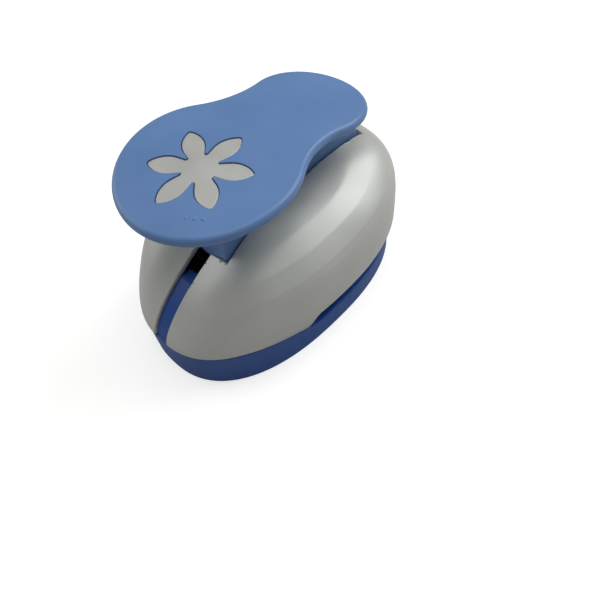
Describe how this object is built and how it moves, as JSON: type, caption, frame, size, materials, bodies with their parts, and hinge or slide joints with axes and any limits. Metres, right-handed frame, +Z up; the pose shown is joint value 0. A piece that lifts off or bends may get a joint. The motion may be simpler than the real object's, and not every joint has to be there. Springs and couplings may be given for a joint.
{
  "type": "craft punch",
  "caption": "Lever craft punch: egg-shaped plastic body with a paper mouth, a hinged thumb lever and a steel die set that cuts a six-petal flower.",
  "frame": {"origin": "middle of the footprint on the surface the punch stands on", "axes": "+Z up, +Y from the thumb end to the hinge end, +X to the right seen from the thumb end"},
  "size_m": [0.0764, 0.1137, 0.0758],
  "materials": {
    "body_blue": "satin",
    "cover_white": "pearl",
    "lever_blue": "satin",
    "inlay_grey": "satin",
    "tool_steel": "ground",
    "zinc_casting": "cast",
    "pin_steel": "polished",
    "screw_steel": "zinc plated",
    "spring_steel": "satin",
    "washer_plastic": "matt"
  },
  "bodies": {
    "body": {"base_tray": "body_blue", "bottom_plate": "body_blue", "bottom_screws": "screw_steel", "top_cover": "cover_white", "cover_screws": "screw_steel", "die_plate": "tool_steel", "throat_spacer": "zinc_casting", "guide_plate": "tool_steel", "die_screws": "screw_steel", "plate_dowels": "pin_steel", "ram_housing": "zinc_casting", "housing_screws": "screw_steel", "guide_pins": "pin_steel", "spring_left": "spring_steel", "spring_right": "spring_steel", "pivot_pin": "pin_steel", "pivot_washers": "washer_plastic", "pivot_clips": "screw_steel"},
    "ram": {"ram_carrier": "zinc_casting", "punch_die": "tool_steel", "punch_screws": "screw_steel", "ram_pad": "pin_steel"},
    "lever": {"lever_cap": "lever_blue", "lever_core": "zinc_casting", "core_screws": "screw_steel", "flower_inlay": "inlay_grey"}
  },
  "joints": [
    {"name": "lever_press", "type": "hinge", "parent": "body", "child": "lever", "pos_m": [0, 0.0395, 0.0425], "axis": [1, 0, 0], "range_deg": [0, 13], "stiffness_Nm_per_rad": 4.6, "springref_deg": -2.41},
    {"name": "ram_slide", "type": "slide", "parent": "body", "child": "ram", "axis": [0, 0, -1], "range_m": [0, 0.00545], "stiffness_N_per_m": 60, "springref_m": -0.02, "deforming": ["spring_left", "spring_right"]}
  ],
  "couplings": [
    {"joint": "lever_press", "follows": "ram_slide", "rad_per_m": 41.667}
  ]
}
